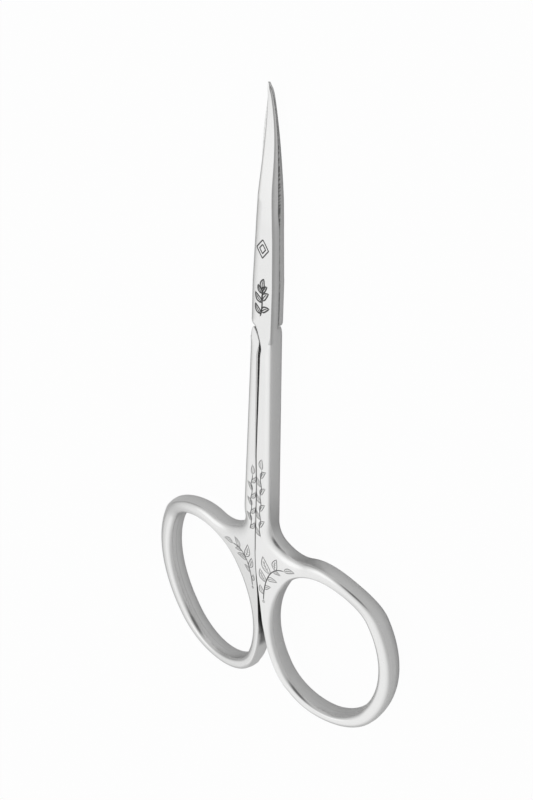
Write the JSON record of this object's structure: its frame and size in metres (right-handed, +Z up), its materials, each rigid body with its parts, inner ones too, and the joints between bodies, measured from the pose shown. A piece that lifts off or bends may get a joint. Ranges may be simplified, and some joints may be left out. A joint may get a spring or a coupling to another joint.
{
  "type": "cuticle scissors",
  "caption": "Slim satin steel cuticle scissors with fine pointed blades curved up at the tips, slender shanks and oval finger bows, joined by a slotted pivot screw.",
  "frame": {"origin": "centre of the closed pair's outline, on the surface that it lies on", "axes": "+Y from the bows to the tips, +Z up from the surface it lies on, towards the side that the tips curve to, +X to the bow of the front half; the pivot axis leans 3.5 degrees from +Z towards +Y, because the pair lies on its bows and blades"},
  "size_m": [0.0494, 0.1089, 0.0068],
  "materials": {
    "satin_steel": "satin",
    "screw_steel": "polished"
  },
  "bodies": {
    "front": {"front_half": "satin_steel", "pivot_screw": "screw_steel"},
    "back": {"back_half": "satin_steel"}
  },
  "joints": [
    {"name": "pivot", "type": "hinge", "parent": "front", "child": "back", "pos_m": [0, 0.02274, 0.00208], "axis": [0, -0.0591, -0.9983], "range_deg": [0, 55]}
  ]
}
